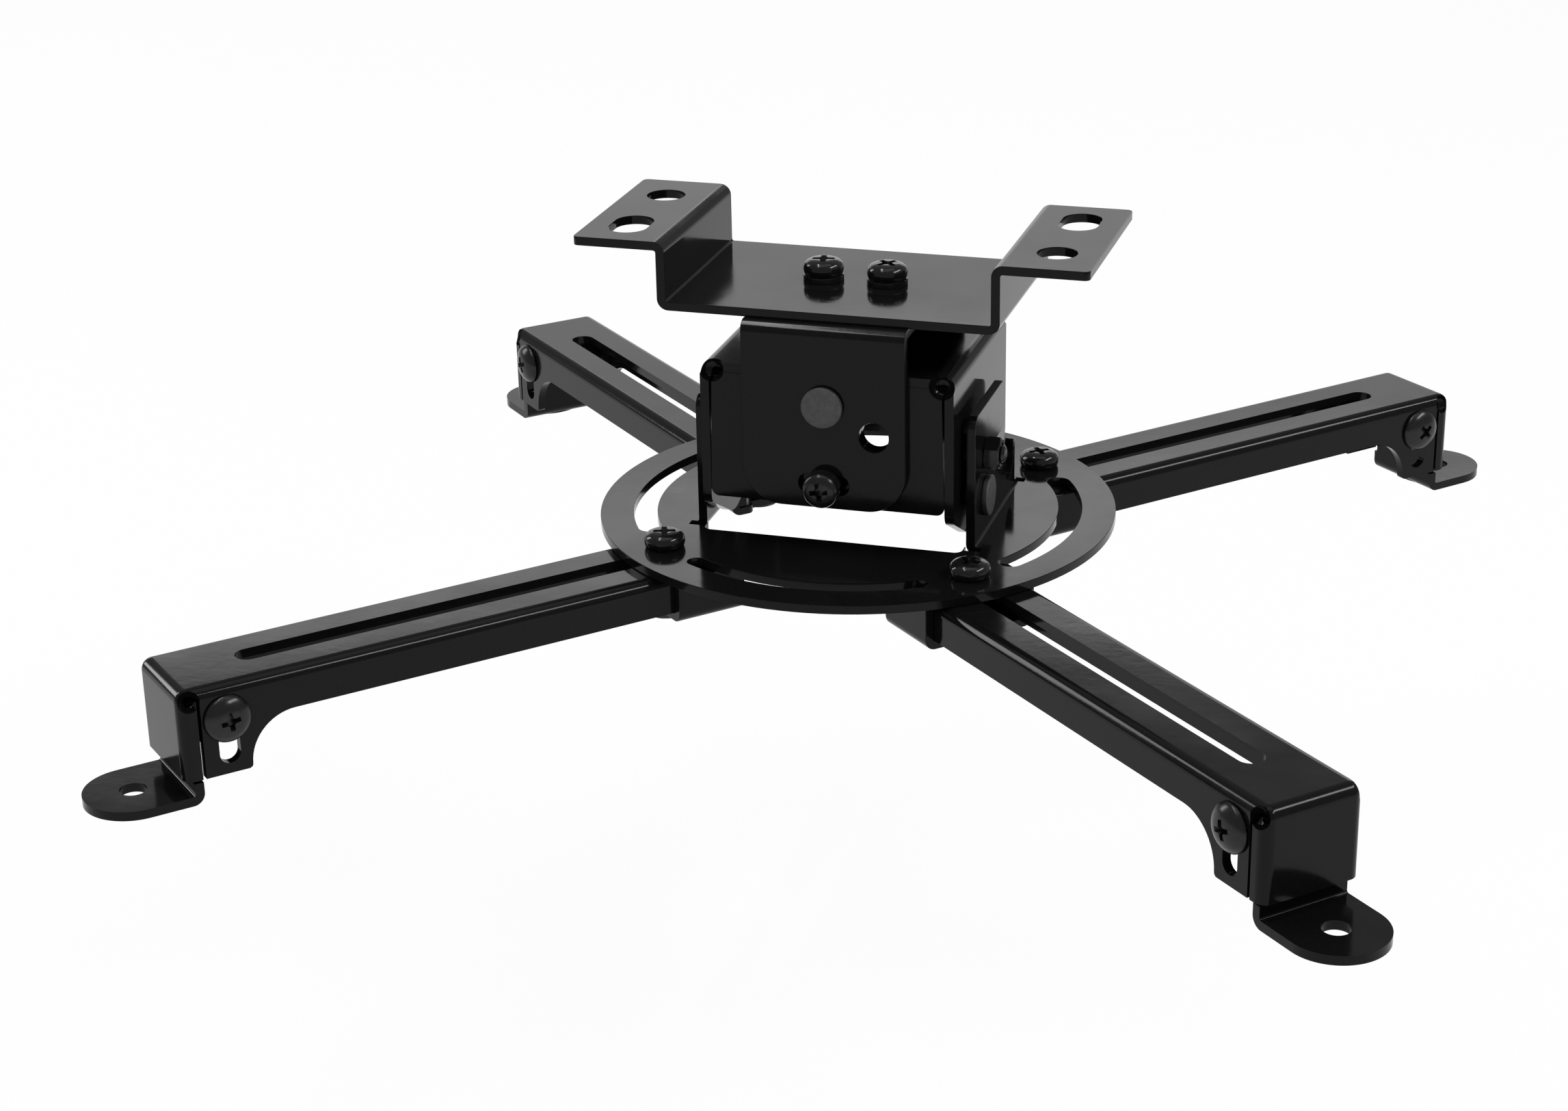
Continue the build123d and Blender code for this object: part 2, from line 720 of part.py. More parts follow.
def save_head():
    """Ceiling plate, yoke and the two screws between them."""
    save("ceiling_plate", make_ceiling_plate())
    save("head_yoke", make_head_yoke())
    centre_top = yoke_top_z + sheet
    head_under = centre_top + spring_washer_t
    length = head_under - (yoke_top_z - sheet - m6_nut_t - nut_tail)
    for side, word in ((-1, "left"), (1, "right")):
        at_screw = Pos(side * head_screw_x, 0, 0)
        head_screw = screw(m6_shank_r, m6_head_r, m6_head_t, length)
        save("head_screw_" + word, at_screw * Pos(0, 0, head_under) * head_screw)
        washer = spring_washer(m6_shank_r, m6_head_r, spring_washer_t)
        save("head_washer_" + word, at_screw * Pos(0, 0, centre_top) * washer)
        head_nut = nut(m6_nut_flats, m6_nut_t, m6_shank_r)
        save("head_nut_" + word, at_screw * Pos(0, 0, yoke_top_z - sheet) * head_nut)


def save_tilt_box():
    """Tilting box with its side pivots and the side lock."""
    save("tilt_box", make_tilt_box())
    outer = yoke_outer_y() + face_clear
    inner = box_half_y - sheet
    front_rivet = face_front(rivet(outer - inner))
    save("side_rivet_front", Pos(0, -outer, side_pivot_z) * front_rivet)
    back_rivet = face_back(rivet(outer - inner))
    save("side_rivet_back", Pos(0, outer, side_pivot_z) * back_rivet)
    lock_z = side_pivot_z - side_lock_radius
    length = outer + spring_washer_t - inner + m5_nut_t + nut_tail
    lock_screw = face_front(screw(m5_shank_r, m5_head_r, m5_head_t, length))
    save("side_lock_screw", Pos(0, -outer - spring_washer_t, lock_z) * lock_screw)
    washer = face_front(spring_washer(m5_shank_r, m5_head_r, spring_washer_t))
    save("side_lock_washer", Pos(0, -outer, lock_z) * washer)
    lock_nut = face_front(nut(m5_nut_flats, m5_nut_t, m5_shank_r))
    save("side_lock_nut", Pos(0, -inner, lock_z) * lock_nut)


def save_ring():
    """Round plate with the fore-and-aft pivots and the tilt lock."""
    save("ring_plate", make_ring_plate())
    outer = ear_inner_x + sheet
    inner = box_half_x - sheet - face_clear
    turned_rivet = rivet(outer - inner)
    save("pivot_rivet_right", Pos(outer, pivot_y, pivot_z) * face_right(turned_rivet))
    save("pivot_rivet_left", Pos(-outer, pivot_y, pivot_z) * face_left(turned_rivet))
    ring_t = ear_inner_x - box_half_x - face_clear
    pivot_ring = spacer(rivet_shank_r, spacer_r, ring_t)
    save("pivot_spacer_right", Pos(ear_inner_x - ring_t, pivot_y, pivot_z) * face_right(pivot_ring))
    save("pivot_spacer_left", Pos(-ear_inner_x + ring_t, pivot_y, pivot_z) * face_left(pivot_ring))
    lock_z = pivot_z + tilt_lock_radius
    head_x = inner
    length = outer + m5_nut_t + tilt_lock_tail - head_x
    bolt = face_left(screw(m5_shank_r, m5_head_r, m5_head_t, length))
    save("tilt_lock_bolt", Pos(head_x, pivot_y, lock_z) * bolt)
    lock_ring = spacer(m5_shank_r, m5_head_r, ring_t)
    save("tilt_lock_spacer", Pos(ear_inner_x - ring_t, pivot_y, lock_z) * face_right(lock_ring))
    lock_nut = face_left(nut(tilt_lock_nut_flats, m5_nut_t, m5_shank_r))
    save("tilt_lock_nut", Pos(outer, pivot_y, lock_z) * lock_nut)


def save_corner(corner):
    """One corner: collar with its clamp screw, arm, and foot with its two screws."""
    place = clamp_place(corner)
    floor_under = collar_floor_top() - sheet
    save("collar_" + corner, place * make_collar())
    head_under = plate_top_z + face_clear
    length = head_under - floor_under + m6_thin_nut_t + thin_nut_tail
    clamp_screw = screw(m6_shank_r, m6_head_r, m6_head_t, length)
    save("clamp_screw_" + corner, place * Pos(0, 0, head_under) * clamp_screw)
    clamp_nut = nut(m6_nut_flats, m6_thin_nut_t, m6_shank_r)
    save("clamp_nut_" + corner, place * Pos(0, 0, floor_under) * clamp_nut)
    save("arm_" + corner, place * make_arm())
    save("foot_" + corner, place * make_foot())
    screw_u = arm_tip - foot_slot_inset
    head_v = arm_width / 2 + face_clear
    nut_v = foot_lug_outer() - sheet
    length = head_v - nut_v + m5_nut_t
    for side, word, turn in ((1, "a", face_back), (-1, "b", face_front)):
        head_place = place * Pos(screw_u, side * head_v, foot_screw_z)
        save("foot_screw_" + word + "_" + corner, head_place * turn(truss_screw(length)))
        nut_place = place * Pos(screw_u, side * nut_v, foot_screw_z)
        foot_nut = nut(m5_nut_flats, m5_nut_t, m5_shank_r)
        save("foot_nut_" + word + "_" + corner, nut_place * turn(foot_nut))


os.makedirs("parts", exist_ok=True)
save_head()
save_tilt_box()
save_ring()
for corner_name in clamp_angles:
    save_corner(corner_name)
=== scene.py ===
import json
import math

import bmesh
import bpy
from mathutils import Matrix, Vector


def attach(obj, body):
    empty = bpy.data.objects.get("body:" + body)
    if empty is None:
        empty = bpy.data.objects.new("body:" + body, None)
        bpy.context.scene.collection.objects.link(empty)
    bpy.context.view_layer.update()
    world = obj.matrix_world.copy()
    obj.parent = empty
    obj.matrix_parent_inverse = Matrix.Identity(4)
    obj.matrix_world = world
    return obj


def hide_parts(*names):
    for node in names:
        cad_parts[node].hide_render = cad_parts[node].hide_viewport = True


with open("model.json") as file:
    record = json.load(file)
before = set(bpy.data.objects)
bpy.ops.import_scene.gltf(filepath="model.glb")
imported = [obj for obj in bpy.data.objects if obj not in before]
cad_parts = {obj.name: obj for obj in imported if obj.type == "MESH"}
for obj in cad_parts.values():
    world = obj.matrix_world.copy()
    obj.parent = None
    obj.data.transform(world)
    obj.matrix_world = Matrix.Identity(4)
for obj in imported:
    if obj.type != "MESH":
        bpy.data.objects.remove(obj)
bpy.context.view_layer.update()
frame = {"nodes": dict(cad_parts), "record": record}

# %% [markdown]
# # A projector ceiling mount in gloss black steel
#
# The object is folded from steel sheet: a hat-shaped ceiling plate, a head that tilts two ways,
# and a round plate with four arms that swing, slide and end in height-adjustable feet.
# The imported model gives every sheet its true place and size. This lesson gives each sheet the soft
# edges that paint leaves, models the screws and nuts with their real forms, rounds the rims of the
# washers, spacers and rivets, and makes the paint, the steel and the light.

packed = frame["nodes"]
MM = 0.001

# %% [markdown]
# ## The camera
#
# The camera stands in front of the mount, a little to its right and above it, and is rolled by
# about one degree. A lens of 70 mm at 0.8 m gives the strong but calm perspective of a product
# picture. Two directions of the view were solved from the picture, so they are written as vectors,
# and the third one is square to both.

# %% Camera
camera_data = bpy.data.cameras.new("camera")
camera = bpy.data.objects.new("camera", camera_data)
bpy.context.scene.collection.objects.link(camera)
bpy.context.scene.camera = camera
camera_data.sensor_width = 36.0
camera_data.lens = 70.05
camera_data.clip_start = 0.01
camera_data.clip_end = 20.0
CAMERA_PLACE = Vector((0.20093, -0.71319, 0.32398))
view_right = Vector((0.957123, 0.289101, -0.018313)).normalized()
view_ahead = Vector((-0.273918, 0.882662, -0.381937)).normalized()
view_up = view_right.cross(view_ahead)
camera_turn = Matrix((view_right, view_up, -view_ahead)).transposed()
camera.matrix_world = Matrix.Translation(CAMERA_PLACE) @ camera_turn.to_4x4()
print("camera at", [round(value, 3) for value in camera.matrix_world.translation])

# %% [markdown]
# Every tool of Blender acts on what is selected, so a small helper clears the selection and picks
# one piece before each step. Another one ends a piece: it gives it its material, fastens it to
# the body that carries it and hides the imported piece that it stands for.

# %% Helpers for picking and ending a piece
body_of_node = {}
for body, nodes in frame["record"]["behaviour"]["bodies"].items():
    for node in nodes:
        body_of_node[node] = body


def pick(piece):
    """Select this piece alone."""
    bpy.ops.object.select_all(action="DESELECT")
    piece.select_set(True)
    bpy.context.view_layer.objects.active = piece


def settle(piece):
    """Put the piece's place into its mesh, so that its object stands at the origin."""
    pick(piece)
    bpy.ops.object.transform_apply(location=True, rotation=True, scale=True)


def end_piece(piece, name, node, material):
    """Name, paint and fasten a finished piece that stands for a packed one."""
    piece.name = name
    piece.data.name = name
    piece.data.materials.clear()
    piece.data.materials.append(material)
    for face in piece.data.polygons:
        face.material_index = 0
    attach(piece, body_of_node[node])
    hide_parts(node)


print("helpers ready")

# %% [markdown]
# ## The paint
#
# The sheets are powder-coated in gloss black. Under a soft light such paint is a dark mirror:
# faces seen at a low angle turn grey because they reflect the bright room, and upright faces stay
# nearly black. A Principled shader with a dark colour and a low roughness does this by itself.
# Two patterns keep it from looking like glass: the slight waves of the coat, and the fine ripple
# that rolling leaves along the sheet. Both only bend the light, through Bump nodes.

# %% Pattern helpers
EVEN = (1, 1, 1)
NOISE_LOW = 0.3
NOISE_HIGH = 0.7


def make_material(name):
    """New node material, with its tree and its main shader."""
    material = bpy.data.materials.new(name)
    material.use_nodes = True
    tree = material.node_tree
    return material, tree, tree.nodes["Principled BSDF"]


def object_pattern(tree, stretch):
    """Coordinates of the piece itself, in metres, stretched along its axes."""
    coordinates = tree.nodes.new("ShaderNodeTexCoord")
    mapping = tree.nodes.new("ShaderNodeMapping")
    mapping.inputs["Scale"].default_value = stretch
    tree.links.new(coordinates.outputs["Object"], mapping.inputs["Vector"])
    return mapping.outputs["Vector"]


def add_noise(tree, stretch, scale, detail):
    """Noise that follows the piece."""
    noise = tree.nodes.new("ShaderNodeTexNoise")
    noise.inputs["Scale"].default_value = scale
    noise.inputs["Detail"].default_value = detail
    tree.links.new(object_pattern(tree, stretch), noise.inputs["Vector"])
    return noise.outputs["Fac"]


def ramp(tree, source, low, high):
    """Turn a noise, most of which lies near its middle, into values between low and high."""
    map_range = tree.nodes.new("ShaderNodeMapRange")
    map_range.inputs["From Min"].default_value = NOISE_LOW
    map_range.inputs["From Max"].default_value = NOISE_HIGH
    map_range.inputs["To Min"].default_value = low
    map_range.inputs["To Max"].default_value = high
    tree.links.new(source, map_range.inputs["Value"])
    return map_range.outputs["Result"]


def add_bump(tree, height, strength, distance, before=None):
    """Bend the light by a height pattern, on top of an earlier bump."""
    bump = tree.nodes.new("ShaderNodeBump")
    bump.inputs["Strength"].default_value = strength
    bump.inputs["Distance"].default_value = distance
    tree.links.new(height, bump.inputs["Height"])
    if before is not None:
        tree.links.new(before, bump.inputs["Normal"])
    return bump.outputs["Normal"]


def two_tones(tree, shader, dark, light):
    """Colour that wanders between two tones in grains of about a millimetre."""
    mix = tree.nodes.new("ShaderNodeMix")
    mix.data_type = "RGBA"
    mix.inputs["A"].default_value = (*dark, 1)
    mix.inputs["B"].default_value = (*light, 1)
    tree.links.new(add_noise(tree, EVEN, scale=900, detail=4), mix.inputs["Factor"])
    tree.links.new(mix.outputs["Result"], shader.inputs["Base Color"])


print("pattern helpers ready")

# %% [markdown]
# The paint itself is nearly black. Its index of refraction, 1.24, is lower than that of a clear
# coat, because the upright faces of the real piece stay almost black in front of a white floor.
# The roughness wanders between 0.07 and 0.15, as the coat is smoother in some places than in
# others.

# %% The paint's values
def make_paint():
    """Gloss black powder coat with slight waves and a fine ripple."""
    material, tree, shader = make_material("gloss_black_paint")
    shader.inputs["IOR"].default_value = 1.24
    two_tones(tree, shader, dark=(0.003, 0.003, 0.0034), light=(0.006, 0.006, 0.0066))
    smear = add_noise(tree, EVEN, scale=45, detail=3)
    tree.links.new(ramp(tree, smear, low=0.07, high=0.15), shader.inputs["Roughness"])
    coat = add_noise(tree, EVEN, scale=330, detail=2)
    waves = add_bump(tree, coat, strength=0.16, distance=0.06 * MM)
    rolled = add_noise(tree, (0.06, 1, 1), scale=900, detail=1)
    ripple = add_bump(tree, rolled, strength=0.06, distance=0.05 * MM, before=waves)
    tree.links.new(ripple, shader.inputs["Normal"])
    return material


paint = make_paint()
print("paint ready")

# %% [markdown]
# ## Soft edges for the folded sheets
#
# A real sheet has no sharp edge: punching rolls it over a little and the paint rounds it, which
# draws a thin bright line along every rim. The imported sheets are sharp, so each is copied, its
# loose triangles are merged and cleaned into flat faces, and a narrow bevel is run along every
# edge that turns by more than forty degrees. The folds themselves turn in small steps and stay.

# %% Bevelled copies of the sheets
MERGE_DISTANCE = 0.003 * MM
FLAT_ANGLE = math.radians(0.6)
RIM_ANGLE = math.radians(40)
SMOOTH_ANGLE = math.radians(30)
SHEET_RIM = 0.28 * MM
RIVET_RIM = 0.3 * MM
SMALL_RIM = 0.18 * MM
SHEET_NODES = ["ceiling_plate", "head_yoke", "tilt_box", "ring_plate"]
CORNERS = ["front_left", "front_right", "back_right", "back_left"]
for corner in CORNERS:
    SHEET_NODES += ["collar_" + corner, "arm_" + corner, "foot_" + corner]


def soften(node, width):
    """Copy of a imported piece, without its labels, with rounded rims."""
    piece = packed[node].copy()
    piece.data = packed[node].data.copy()
    piece.parent = None
    bpy.context.scene.collection.objects.link(piece)
    for key in list(piece.keys()):
        del piece[key]
    pick(piece)
    bpy.ops.object.mode_set(mode="EDIT")
    bpy.ops.mesh.select_all(action="SELECT")
    bpy.ops.mesh.remove_doubles(threshold=MERGE_DISTANCE)
    bpy.ops.mesh.dissolve_limited(angle_limit=FLAT_ANGLE)
    bpy.ops.object.mode_set(mode="OBJECT")
    bevel = piece.modifiers.new("rim", "BEVEL")
    bevel.width = width
    bevel.segments = 2
    bevel.limit_method = "ANGLE"
    bevel.angle_limit = RIM_ANGLE
    bevel.miter_outer = "MITER_ARC"
    bpy.ops.object.modifier_apply(modifier="rim")
    bpy.ops.object.shade_smooth_by_angle(angle=SMOOTH_ANGLE)
    flat = piece.modifiers.new("flat", "WEIGHTED_NORMAL")
    flat.keep_sharp = True
    flat.weight = 100
    bpy.ops.object.modifier_apply(modifier="flat")
    return piece


soft_sheets = {}
for node in SHEET_NODES:
    soft_sheets[node] = soften(node, SHEET_RIM)
    end_piece(soft_sheets[node], node + "_painted", node, paint)
print("sheets softened:", len(soft_sheets))

# %% [markdown]
# The coat also fills the narrow seams. Between the tilting box's front flange and its side walls
# only a dark line is left, and no light comes through. So the flange's side edges, and those of
# the rear flange, are drawn outwards by 0.6 mm. The points that move lie at these edges, within
# the flanges' thickness and below the corner reliefs. All limits are in millimetres.

# %% Closing the tilting box's seams
FLANGE_EDGE = 29.7
CLOSED_EDGE = 30.33
EDGE_STRIP = (27.5, 29.9)
FLANGE_DEPTH = (26.1, 28.8)
BELOW_RELIEF = 68
painted_box = soft_sheets["tilt_box"]
pick(painted_box)
bpy.ops.object.mode_set(mode="EDIT")
bpy.ops.mesh.select_mode(type="VERT")
bpy.ops.mesh.select_all(action="DESELECT")
box_mesh = bmesh.from_edit_mesh(painted_box.data)
for vertex in box_mesh.verts:
    across, deep, high = (abs(value) / MM for value in vertex.co)
    at_edge = EDGE_STRIP[0] < across < EDGE_STRIP[1]
    in_flange = FLANGE_DEPTH[0] < deep < FLANGE_DEPTH[1]
    if at_edge and in_flange and high < BELOW_RELIEF:
        vertex.select_set(True)
box_mesh.select_flush(True)
bmesh.update_edit_mesh(painted_box.data)
seam_points = sum(vertex.select for vertex in box_mesh.verts)
bpy.ops.transform.resize(value=(CLOSED_EDGE / FLANGE_EDGE, 1, 1), center_override=(0, 0, 0))
bpy.ops.object.mode_set(mode="OBJECT")
print("seam points moved:", seam_points)

# %% [markdown]
# ## Steel of the screws, nuts and rivets
#
# The small parts are made of black steel of three kinds: pan screws with a glossy black coat, dome
# screws and washers with a satin one, and rivets whose flat heads are matt and a little worn.
# One function makes all three from two tones of grey, a roughness and a share of metal, and a
# fine noise breaks the surface up so that highlights end softly.

# %% Coated steels
BLUE_CAST = 1.04


def make_steel(name, dark, light, rough_low, rough_high, metallic, grain):
    """Coated steel between two greys, with a fine grain."""
    material, tree, shader = make_material(name)
    shader.inputs["Metallic"].default_value = metallic
    two_tones(tree, shader, (dark, dark, dark * BLUE_CAST), (light, light, light * BLUE_CAST))
    rough = add_noise(tree, EVEN, scale=1600, detail=3)
    tree.links.new(ramp(tree, rough, rough_low, rough_high), shader.inputs["Roughness"])
    bump = add_bump(tree, rough, strength=grain, distance=0.03 * MM)
    tree.links.new(bump, shader.inputs["Normal"])
    return material


gloss_steel = make_steel("gloss_black_screw_steel", dark=0.012, light=0.024,
                         rough_low=0.10, rough_high=0.17, metallic=0.6, grain=0.05)
satin_steel = make_steel("satin_black_screw_steel", dark=0.016, light=0.03,
                         rough_low=0.20, rough_high=0.28, metallic=0.7, grain=0.1)
rivet_steel = make_steel("matt_rivet_steel", dark=0.05, light=0.10,
                         rough_low=0.45, rough_high=0.62, metallic=0.4, grain=0.5)
print("steels ready")

# %% [markdown]
# ## Turned pieces
#
# A screw is a turned piece. It starts as a round face at the tip of its shank. The face is pulled
# up and scaled again and again, so that each pull leaves one ring of the outline, as a lathe
# would. The list of radii and heights is the outline read from the real screw, and the last ring
# is its flat top.

# %% A round piece grown ring by ring
RING_CORNERS = 40


def turned(rings, corners=RING_CORNERS):
    """Grow a round piece through rings of (radius, height) in millimetres, from below."""
    bpy.ops.object.select_all(action="DESELECT")
    bpy.ops.mesh.primitive_circle_add(vertices=corners, radius=rings[0][0] * MM, fill_type="NGON")
    piece = bpy.context.object
    bpy.ops.object.mode_set(mode="EDIT")
    bpy.ops.mesh.select_mode(type="FACE")
    bpy.ops.mesh.select_all(action="SELECT")
    bpy.ops.transform.translate(value=(0, 0, rings[0][1] * MM))
    for before, after in zip(rings, rings[1:]):
        rise = (after[1] - before[1]) * MM
        ratio = after[0] / before[0]
        bpy.ops.mesh.extrude_region_move(TRANSFORM_OT_translate={"value": (0, 0, rise)})
        bpy.ops.transform.resize(value=(ratio, ratio, 1), center_override=(0, 0, 0))
    bpy.ops.mesh.select_all(action="SELECT")
    bpy.ops.mesh.normals_make_consistent(inside=False)
    bpy.ops.object.mode_set(mode="OBJECT")
    return piece


print("lathe ready")

# %% [markdown]
# The thread is a row of rings that go in and out by its depth. One turn of it is three rings: two
# at the crest, which is narrow and flat, and one at the root. The tip is drawn in a little, so
# that the nut finds its start. A true spiral would cost many more faces and look the same here.

# %% The thread
M6_RADIUS = 3.0
M5_RADIUS = 2.5
SCREW_PITCH = 0.9
TIP_LENGTH = 0.3
TIP_RATIO = 0.72
START_RATIO = 0.86
ROOT_RATIO = 0.87
CREST = (0.4, 0.55)
NECK = 0.3
RUN_OUT = 0.4


def threaded_shank(radius, length, pitch):
    """Rings of a thread from the tip of the shank up to the head at height 0."""
    rings = [(radius * TIP_RATIO, -length), (radius * START_RATIO, -length + TIP_LENGTH)]
    height = -length + TIP_LENGTH
    while height + pitch < -RUN_OUT:
        rings += [(radius, height + pitch * part) for part in CREST]
        rings.append((radius * ROOT_RATIO, height + pitch))
        height += pitch
    return rings + [(radius, -NECK), (radius, 0)]


print("rings of a shank of 10 mm:", len(threaded_shank(M6_RADIUS, 10.0, SCREW_PITCH)))

# %% [markdown]
# The cross recess is sunk with Boolean modifiers: two tapering wings at right angles and a small
# tapering core between them. A wing is a block whose lower end is made smaller in edit mode, and
# the core is a turned cone. Each cutter is deleted after its cut, so nothing of it stays.

# %% Cutters and the cross recess
def cut(piece, cutter, operation="DIFFERENCE"):
    """Apply one Boolean and delete the cutter."""
    pick(piece)
    boolean = piece.modifiers.new("cut", "BOOLEAN")
    boolean.operation = operation
    boolean.solver = "EXACT"
    boolean.object = cutter
    bpy.ops.object.modifier_apply(modifier="cut")
    bpy.data.objects.remove(cutter, do_unlink=True)


POINTS_DOWN = -0.9
WING_TAPER = (0.45, 0.75, 1)
CORE_BOTTOM = 0.4
CORE_TOP = 0.95
CORE_SIDES = 16
OVER_TOP = 0.5
ROUND_ANGLE = 32


def wing_cutter(top, reach, width, depth, turned_by):
    """One wing of the cross, tapering downwards."""
    bpy.ops.object.select_all(action="DESELECT")
    size = (2 * reach * MM, width * MM, 2 * depth * MM)
    bpy.ops.mesh.primitive_cube_add(size=1, location=(0, 0, top * MM), scale=size)
    wing = bpy.context.object
    settle(wing)
    bpy.ops.object.mode_set(mode="EDIT")
    mesh = bmesh.from_edit_mesh(wing.data)
    for face in mesh.faces:
        face.select_set(face.normal.z < POINTS_DOWN)
    bmesh.update_edit_mesh(wing.data)
    bpy.ops.transform.resize(value=WING_TAPER, center_override=(0, 0, (top - depth) * MM))
    bpy.ops.object.mode_set(mode="OBJECT")
    wing.rotation_euler = (0, 0, math.radians(turned_by))
    settle(wing)
    return wing


def sink_cross(piece, top, reach, width, depth):
    """Cross recess in the top of a screw head."""
    core = [(width * CORE_BOTTOM, top - depth), (width * CORE_TOP, top + OVER_TOP)]
    cut(piece, turned(core, CORE_SIDES))
    for turned_by in (0, 90):
        cut(piece, wing_cutter(top, reach, width, depth, turned_by))


def finish_turned(piece, angle=ROUND_ANGLE):
    """Smooth shading over the round, sharp at the true edges."""
    pick(piece)
    bpy.ops.object.shade_smooth_by_angle(angle=math.radians(angle))


print("cutters ready")

# %% [markdown]
# Four screws are modelled once each, with heads of three kinds. The M6 pan head, on the head and
# clamp screws, is fuller a little above its foot, which makes it look like a bulb, and its top is
# nearly flat. The M5 lock screw's head has the same shape, smaller. The M5 dome head is wide and
# low, and its thin rim lies on the arm.

# %% Pan screws and dome screw
PAN_M6 = [(4.7, 0), (5.0, 0.45), (5.2, 1.3), (5.15, 2.1),
          (4.85, 2.9), (4.3, 3.45), (3.5, 3.8), (2.6, 4.0)]
PAN_M5 = [(4.3, 0), (4.55, 0.4), (4.65, 1.1), (4.6, 1.8),
          (4.3, 2.45), (3.75, 2.95), (3.0, 3.25), (2.2, 3.4)]
DOME_M5 = [(5.6, 0), (5.9, 0.2), (5.88, 0.5), (5.55, 1.05),
           (4.9, 1.65), (3.95, 2.2), (2.7, 2.6), (1.5, 2.8)]
PAN_M6_CROSS = {"reach": 3.9, "width": 1.6, "depth": 2.4}
PAN_M5_CROSS = {"reach": 3.3, "width": 1.5, "depth": 2.0}
DOME_M5_CROSS = {"reach": 3.4, "width": 1.4, "depth": 1.7}


def make_screw(outline, cross, radius, length):
    """Screw that stands with its head's underside at height 0."""
    screw = turned(threaded_shank(radius, length, SCREW_PITCH) + outline)
    top = outline[-1][1]
    sink_cross(screw, top, **cross)
    finish_turned(screw)
    return screw


head_screw = make_screw(PAN_M6, PAN_M6_CROSS, M6_RADIUS, length=11.85)
clamp_screw = make_screw(PAN_M6, PAN_M6_CROSS, M6_RADIUS, length=18.5)
lock_screw = make_screw(PAN_M5, PAN_M5_CROSS, M5_RADIUS, length=11.25)
foot_screw = make_screw(DOME_M5, DOME_M5_CROSS, M5_RADIUS, length=8.85)
print("faces of the head screw:", len(head_screw.data.polygons))

# %% [markdown]
# A nut is a six-sided bar whose corners were turned off at both ends. So a six-sided cylinder is
# crossed with a round piece that narrows at its ends, which leaves the curved chamfer lines, and
# then a hole with a small countersink is cut through it. The tilt lock's bolt has a plain head,
# as only its threaded end is seen.

# %% Nuts and the tilt lock's bolt
FACE_RATIO = 0.96
CHAMFER_SLOPE = 0.58
ROUND_OVER = 1.003
MOUTH_RATIO = 1.18
BORE_RATIO = 1.02
MOUTH_DEPTH = 0.5
PAST_FACE = 0.05
CHAMFER_CORNERS = 60
NUT_ANGLE = 25
BOLT_LENGTH = 11.2
BOLT_PITCH = 0.8


def make_nut(flats, height, radius):
    """Nut that hangs below height 0."""
    corner = flats / math.sqrt(3)
    face = flats / 2 * FACE_RATIO
    widest = corner * ROUND_OVER
    bpy.ops.object.select_all(action="DESELECT")
    bpy.ops.mesh.primitive_cylinder_add(vertices=6, radius=corner * MM, depth=height * MM,
                                        location=(0, 0, -height / 2 * MM),
                                        rotation=(0, 0, math.radians(30)))
    nut = bpy.context.object
    settle(nut)
    slope = (corner - face) * CHAMFER_SLOPE
    outline = [(face, -height), (widest, slope - height), (widest, -slope), (face, 0)]
    cut(nut, turned(outline, CHAMFER_CORNERS), "INTERSECT")
    mouth = radius * MOUTH_RATIO
    bore = radius * BORE_RATIO
    hole = [(mouth, -height - PAST_FACE), (bore, MOUTH_DEPTH - height),
            (bore, -MOUTH_DEPTH), (mouth, PAST_FACE)]
    cut(nut, turned(hole))
    finish_turned(nut, NUT_ANGLE)
    return nut


head_nut = make_nut(flats=10.0, height=5.0, radius=M6_RADIUS)
clamp_nut = make_nut(flats=10.0, height=3.2, radius=M6_RADIUS)
small_nut = make_nut(flats=8.0, height=4.0, radius=M5_RADIUS)
tilt_nut = make_nut(flats=7.8, height=4.0, radius=M5_RADIUS)
tilt_bolt = turned(threaded_shank(M5_RADIUS, BOLT_LENGTH, BOLT_PITCH) + PAN_M5)
finish_turned(tilt_bolt)
print("faces of the small nut:", len(small_nut.data.polygons))

# %% [markdown]
# ## Setting the fasteners in place
#
# Every fastener is a copy with its own mesh, turned so that its axis follows its hole. Screws get
# a turn of their own, because no two crosses stop at the same angle. Nuts are turned like the
# packed nut, whose farthest corner is looked up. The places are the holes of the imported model.

# %% Copying a fastener to its hole
UP = Vector((0, 0, 1))
TO_FRONT = Vector((0, -1, 0))
TO_LEFT = Vector((-1, 0, 0))
TO_RIGHT = Vector((1, 0, 0))
CLEARLY_FARTHER = 1.0001
dressed = set(soft_sheets)


def corner_way(node, origin, axis):
    """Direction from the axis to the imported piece's farthest corner."""
    best = Vector((0, 0, 0))
    for vertex in packed[node].data.vertices:
        reach = vertex.co - origin
        reach -= axis * reach.dot(axis)
        if reach.length > best.length * CLEARLY_FARTHER:
            best = reach
    return best.normalized()


def set_fastener(model, node, origin, axis, turn_by, finish):
    """Copy of a model at a hole, its head towards the axis."""
    origin = Vector(origin) * MM
    axis = axis.normalized()
    if turn_by is None:
        across = corner_way(node, origin, axis)
    else:
        across = TO_RIGHT.copy() if axis == UP else UP.cross(axis)
        across.rotate(Matrix.Rotation(math.radians(turn_by), 3, axis))
    copy = model.copy()
    copy.data = model.data.copy()
    bpy.context.scene.collection.objects.link(copy)
    turn = Matrix((across, axis.cross(across), axis)).transposed()
    copy.matrix_world = Matrix.Translation(origin) @ turn.to_4x4()
    settle(copy)
    end_piece(copy, node + "_made", node, finish)
    dressed.add(node)


print("fastener helpers ready")

